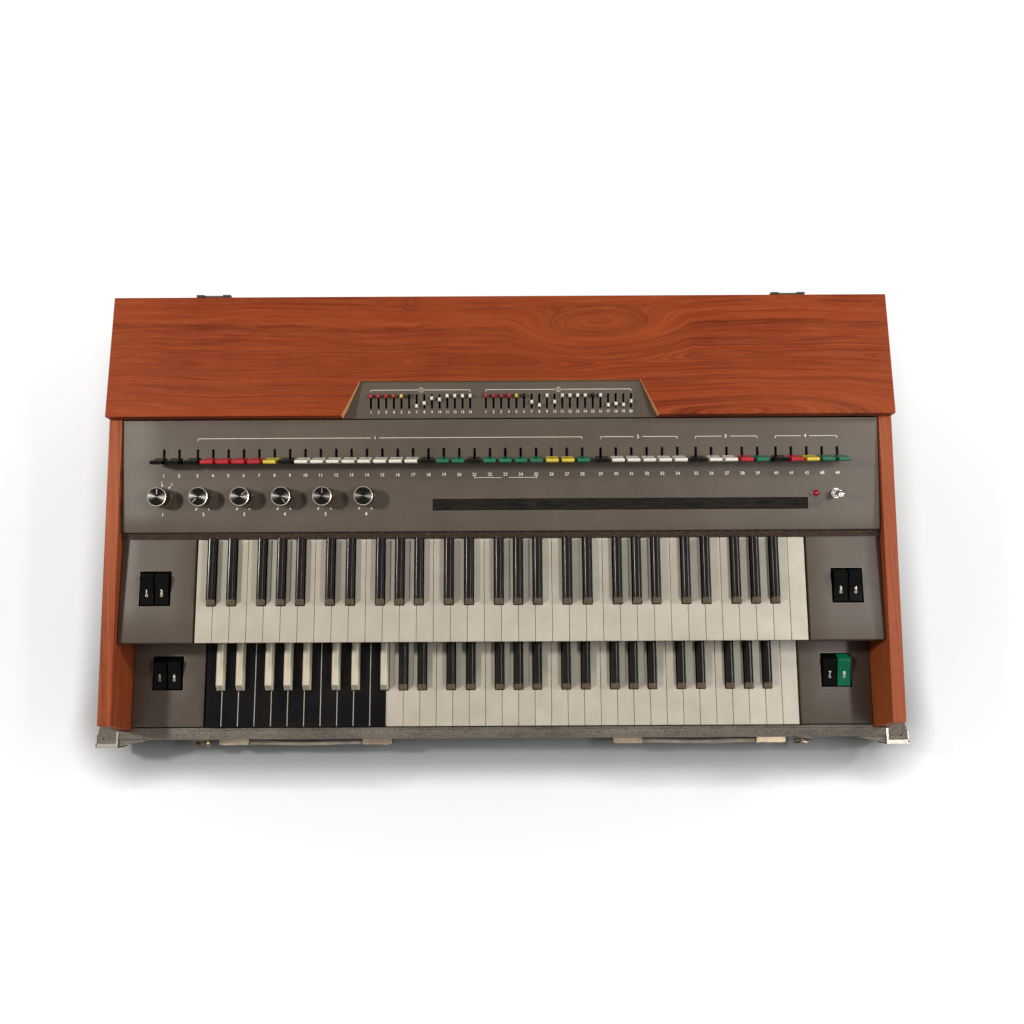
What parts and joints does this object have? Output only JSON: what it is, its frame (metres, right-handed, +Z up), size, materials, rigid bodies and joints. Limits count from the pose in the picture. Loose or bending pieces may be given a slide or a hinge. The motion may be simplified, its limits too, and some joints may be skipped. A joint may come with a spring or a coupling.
{
  "type": "two-manual combo organ",
  "caption": "Portable combo organ with two stacked keyboards, a sloping lever panel and preset sliders in a wooden case on a cloth-covered tray.",
  "frame": {"origin": "middle of the underside of the whole object's box, on the surface that it stands on", "axes": "+Z up, +X to the player's right along the keyboards, +Y away from the player"},
  "size_m": [1.1606, 0.674, 0.1948],
  "materials": {
    "leather_cloth": "speckled grey embossed cloth",
    "strap_vinyl": "grey grained cover",
    "walnut": "satin reddish veneer",
    "rear_board": "plain oiled board",
    "key_bed": "plain sawn board",
    "zinc_steel": "zinc plated",
    "taupe_paint": "satin brown-grey",
    "hinge_steel": "dull nickel",
    "bright_metal": "polished",
    "latch_brass": "aged",
    "felt": "brown felt",
    "ribbon": "black woven strip",
    "lamp_red": "clear red dome",
    "chrome": "polished",
    "circuit_board": "lacquered board",
    "transformer": "varnished laminations",
    "ivory_plastic": "glossy",
    "black_plastic": "glossy",
    "rocker_black": "glossy",
    "green_plastic": "glossy",
    "knob_black": "black with a bright rim",
    "lever_black": "glossy",
    "lever_white": "glossy, in several colours",
    "slider_caps": "small caps in several colours"
  },
  "bodies": {
    "case": {"base_tray": "leather_cloth", "side_panel_left": "walnut", "side_panel_right": "walnut", "top_cover": "walnut", "rear_panel": "rear_board", "jack_panel": "zinc_steel", "upper_key_frame": "zinc_steel", "lower_key_frame": "key_bed", "upper_cheek_left": "taupe_paint", "upper_cheek_right": "taupe_paint", "lower_cheek_left": "taupe_paint", "lower_cheek_right": "taupe_paint", "key_slip": "felt", "control_panel": "taupe_paint", "ribbon_strip": "ribbon", "pilot_lamp": "lamp_red", "preset_panel": "taupe_paint", "corner_guard_left": "bright_metal", "corner_guard_right": "bright_metal", "cover_hinge_left": "hinge_steel", "cover_hinge_right": "hinge_steel", "tone_board": "circuit_board", "power_supply": "transformer"},
    "upper_naturals_odd": {"upper_naturals_odd": "ivory_plastic"},
    "upper_naturals_even": {"upper_naturals_even": "ivory_plastic"},
    "upper_sharps": {"upper_sharps": "black_plastic"},
    "lower_naturals_odd": {"lower_naturals_odd": "ivory_plastic"},
    "lower_naturals_even": {"lower_naturals_even": "ivory_plastic"},
    "lower_sharps": {"lower_sharps": "black_plastic"},
    "bass_naturals_odd": {"bass_naturals_odd": "black_plastic"},
    "bass_naturals_even": {"bass_naturals_even": "black_plastic"},
    "bass_sharps": {"bass_sharps": "ivory_plastic"},
    "upper_rocker_left_a": {"upper_rocker_left_a": "rocker_black"},
    "upper_rocker_left_b": {"upper_rocker_left_b": "rocker_black"},
    "upper_rocker_right_a": {"upper_rocker_right_a": "rocker_black"},
    "upper_rocker_right_b": {"upper_rocker_right_b": "rocker_black"},
    "lower_rocker_left_a": {"lower_rocker_left_a": "rocker_black"},
    "lower_rocker_left_b": {"lower_rocker_left_b": "rocker_black"},
    "lower_rocker_right_a": {"lower_rocker_right_a": "rocker_black"},
    "lower_rocker_right_b": {"lower_rocker_right_b": "green_plastic"},
    "vibrato_levers": {"vibrato_levers": "lever_black"},
    "upper_levers": {"upper_levers": "lever_white"},
    "lower_levers": {"lower_levers": "lever_white"},
    "bass_levers": {"bass_levers": "lever_white"},
    "glide_levers": {"glide_levers": "green_plastic"},
    "knob_1": {"knob_1": "knob_black"},
    "knob_2": {"knob_2": "knob_black"},
    "knob_3": {"knob_3": "knob_black"},
    "knob_4": {"knob_4": "knob_black"},
    "knob_5": {"knob_5": "knob_black"},
    "knob_6": {"knob_6": "knob_black"},
    "power_switch": {"power_switch": "chrome"},
    "preset_1_sliders_in": {"preset_1_sliders_in": "slider_caps"},
    "preset_1_sliders_drawn": {"preset_1_sliders_drawn": "slider_caps"},
    "preset_2_sliders_in": {"preset_2_sliders_in": "slider_caps"},
    "preset_2_sliders_drawn": {"preset_2_sliders_drawn": "slider_caps"},
    "handle_strap_left": {"handle_strap_left": "strap_vinyl"},
    "handle_strap_right": {"handle_strap_right": "strap_vinyl"},
    "latch_left": {"latch_left": "latch_brass"},
    "latch_right": {"latch_right": "latch_brass"}
  },
  "joints": [
    {"name": "upper_naturals_odd_press", "type": "hinge", "parent": "case", "child": "upper_naturals_odd", "pos_m": [0, 0.021, 0.1343], "axis": [1, 0, 0], "range_deg": [0, 2.7], "stiffness_Nm_per_rad": 19.8, "springref_deg": -9.74},
    {"name": "upper_naturals_even_press", "type": "hinge", "parent": "case", "child": "upper_naturals_even", "pos_m": [0, 0.021, 0.1373], "axis": [1, 0, 0], "range_deg": [0, 2.7], "stiffness_Nm_per_rad": 19.8, "springref_deg": -9.74},
    {"name": "upper_sharps_press", "type": "hinge", "parent": "case", "child": "upper_sharps", "pos_m": [0, 0.021, 0.1403], "axis": [1, 0, 0], "range_deg": [0, 2.7], "stiffness_Nm_per_rad": 27.5, "springref_deg": -9.74},
    {"name": "lower_naturals_odd_press", "type": "hinge", "parent": "case", "child": "lower_naturals_odd", "pos_m": [0, -0.096, 0.0703], "axis": [1, 0, 0], "range_deg": [0, 2.7], "stiffness_Nm_per_rad": 14.3, "springref_deg": -9.74},
    {"name": "lower_naturals_even_press", "type": "hinge", "parent": "case", "child": "lower_naturals_even", "pos_m": [0, -0.096, 0.0733], "axis": [1, 0, 0], "range_deg": [0, 2.7], "stiffness_Nm_per_rad": 13.2, "springref_deg": -9.74},
    {"name": "lower_sharps_press", "type": "hinge", "parent": "case", "child": "lower_sharps", "pos_m": [0, -0.096, 0.0763], "axis": [1, 0, 0], "range_deg": [0, 2.7], "stiffness_Nm_per_rad": 18.7, "springref_deg": -9.74},
    {"name": "bass_naturals_odd_press", "type": "hinge", "parent": "case", "child": "bass_naturals_odd", "pos_m": [0, -0.096, 0.0703], "axis": [1, 0, 0], "range_deg": [0, 2.7], "stiffness_Nm_per_rad": 6.6, "springref_deg": -9.74},
    {"name": "bass_naturals_even_press", "type": "hinge", "parent": "case", "child": "bass_naturals_even", "pos_m": [0, -0.096, 0.0733], "axis": [1, 0, 0], "range_deg": [0, 2.7], "stiffness_Nm_per_rad": 5.5, "springref_deg": -9.74},
    {"name": "bass_sharps_press", "type": "hinge", "parent": "case", "child": "bass_sharps", "pos_m": [0, -0.096, 0.0763], "axis": [1, 0, 0], "range_deg": [0, 2.7], "stiffness_Nm_per_rad": 8.8, "springref_deg": -9.74},
    {"name": "upper_rocker_left_a_tilt", "type": "hinge", "parent": "case", "child": "upper_rocker_left_a", "pos_m": [-0.48, -0.116, 0.139], "axis": [1, 0, 0], "range_deg": [-6, 6]},
    {"name": "upper_rocker_left_b_tilt", "type": "hinge", "parent": "case", "child": "upper_rocker_left_b", "pos_m": [-0.48, -0.116, 0.139], "axis": [1, 0, 0], "range_deg": [-6, 6]},
    {"name": "upper_rocker_right_a_tilt", "type": "hinge", "parent": "case", "child": "upper_rocker_right_a", "pos_m": [0.48, -0.116, 0.139], "axis": [1, 0, 0], "range_deg": [-6, 6]},
    {"name": "upper_rocker_right_b_tilt", "type": "hinge", "parent": "case", "child": "upper_rocker_right_b", "pos_m": [0.48, -0.116, 0.139], "axis": [1, 0, 0], "range_deg": [-6, 6]},
    {"name": "lower_rocker_left_a_tilt", "type": "hinge", "parent": "case", "child": "lower_rocker_left_a", "pos_m": [-0.48, -0.232, 0.07], "axis": [1, 0, 0], "range_deg": [-6, 6]},
    {"name": "lower_rocker_left_b_tilt", "type": "hinge", "parent": "case", "child": "lower_rocker_left_b", "pos_m": [-0.48, -0.232, 0.07], "axis": [1, 0, 0], "range_deg": [-6, 6]},
    {"name": "lower_rocker_right_a_tilt", "type": "hinge", "parent": "case", "child": "lower_rocker_right_a", "pos_m": [0.48, -0.232, 0.07], "axis": [1, 0, 0], "range_deg": [-6, 6]},
    {"name": "lower_rocker_right_b_tilt", "type": "hinge", "parent": "case", "child": "lower_rocker_right_b", "pos_m": [0.48, -0.232, 0.07], "axis": [1, 0, 0], "range_deg": [-6, 6]},
    {"name": "vibrato_levers_draw", "type": "hinge", "parent": "case", "child": "vibrato_levers", "pos_m": [0, 0.07259, 0.10203], "axis": [-1, 0, 0], "range_deg": [0, 12.3]},
    {"name": "upper_levers_draw", "type": "hinge", "parent": "case", "child": "upper_levers", "pos_m": [0, 0.07259, 0.10203], "axis": [-1, 0, 0], "range_deg": [0, 12.3]},
    {"name": "lower_levers_draw", "type": "hinge", "parent": "case", "child": "lower_levers", "pos_m": [0, 0.07259, 0.10203], "axis": [-1, 0, 0], "range_deg": [0, 12.3]},
    {"name": "bass_levers_draw", "type": "hinge", "parent": "case", "child": "bass_levers", "pos_m": [0, 0.07259, 0.10203], "axis": [-1, 0, 0], "range_deg": [0, 12.3]},
    {"name": "glide_levers_draw", "type": "hinge", "parent": "case", "child": "glide_levers", "pos_m": [0, 0.07259, 0.10203], "axis": [-1, 0, 0], "range_deg": [0, 12.3]},
    {"name": "knob_1_turn", "type": "hinge", "parent": "case", "child": "knob_1", "pos_m": [-0.4728, 0.00953, 0.15702], "axis": [0, -0.0825, 0.9966], "range_deg": [-35, 0]},
    {"name": "knob_2_turn", "type": "hinge", "parent": "case", "child": "knob_2", "pos_m": [-0.41604, 0.00953, 0.15702], "axis": [0, -0.0825, 0.9966], "range_deg": [-240, 60]},
    {"name": "knob_3_turn", "type": "hinge", "parent": "case", "child": "knob_3", "pos_m": [-0.35928, 0.00953, 0.15702], "axis": [0, -0.0825, 0.9966], "range_deg": [-105, 195]},
    {"name": "knob_4_turn", "type": "hinge", "parent": "case", "child": "knob_4", "pos_m": [-0.30252, 0.00953, 0.15702], "axis": [0, -0.0825, 0.9966], "range_deg": [0, 300]},
    {"name": "knob_5_turn", "type": "hinge", "parent": "case", "child": "knob_5", "pos_m": [-0.24576, 0.00953, 0.15702], "axis": [0, -0.0825, 0.9966], "range_deg": [-150, 150]},
    {"name": "knob_6_turn", "type": "hinge", "parent": "case", "child": "knob_6", "pos_m": [-0.189, 0.00953, 0.15702], "axis": [0, -0.0825, 0.9966], "range_deg": [-45, 255]},
    {"name": "power_switch_throw", "type": "hinge", "parent": "case", "child": "power_switch", "pos_m": [0.468, 0.01166, 0.1592], "axis": [-1, 0, 0], "range_deg": [0, 25.7]},
    {"name": "preset_1_sliders_in_slide", "type": "slide", "parent": "case", "child": "preset_1_sliders_in", "axis": [0, -0.9737, -0.228], "range_m": [0, 0.0155]},
    {"name": "preset_1_sliders_drawn_slide", "type": "slide", "parent": "case", "child": "preset_1_sliders_drawn", "axis": [0, -0.9737, -0.228], "range_m": [-0.0031, 0.0017]},
    {"name": "preset_2_sliders_in_slide", "type": "slide", "parent": "case", "child": "preset_2_sliders_in", "axis": [0, -0.9737, -0.228], "range_m": [0, 0.0155]},
    {"name": "preset_2_sliders_drawn_slide", "type": "slide", "parent": "case", "child": "preset_2_sliders_drawn", "axis": [0, -0.9737, -0.228], "range_m": [-0.0083, 0.0022]},
    {"name": "handle_strap_left_pull", "type": "slide", "parent": "case", "child": "handle_strap_left", "axis": [0, -1, 0], "range_m": [0, 0.004], "stiffness_N_per_m": 300},
    {"name": "handle_strap_right_pull", "type": "slide", "parent": "case", "child": "handle_strap_right", "axis": [0, -1, 0], "range_m": [0, 0.004], "stiffness_N_per_m": 300},
    {"name": "latch_left_turn", "type": "hinge", "parent": "case", "child": "latch_left", "pos_m": [-0.435, -0.3305, 0.044], "axis": [0, 1, 0], "range_deg": [0, 180]},
    {"name": "latch_right_turn", "type": "hinge", "parent": "case", "child": "latch_right", "pos_m": [0.435, -0.3305, 0.044], "axis": [0, 1, 0], "range_deg": [0, 180]}
  ]
}
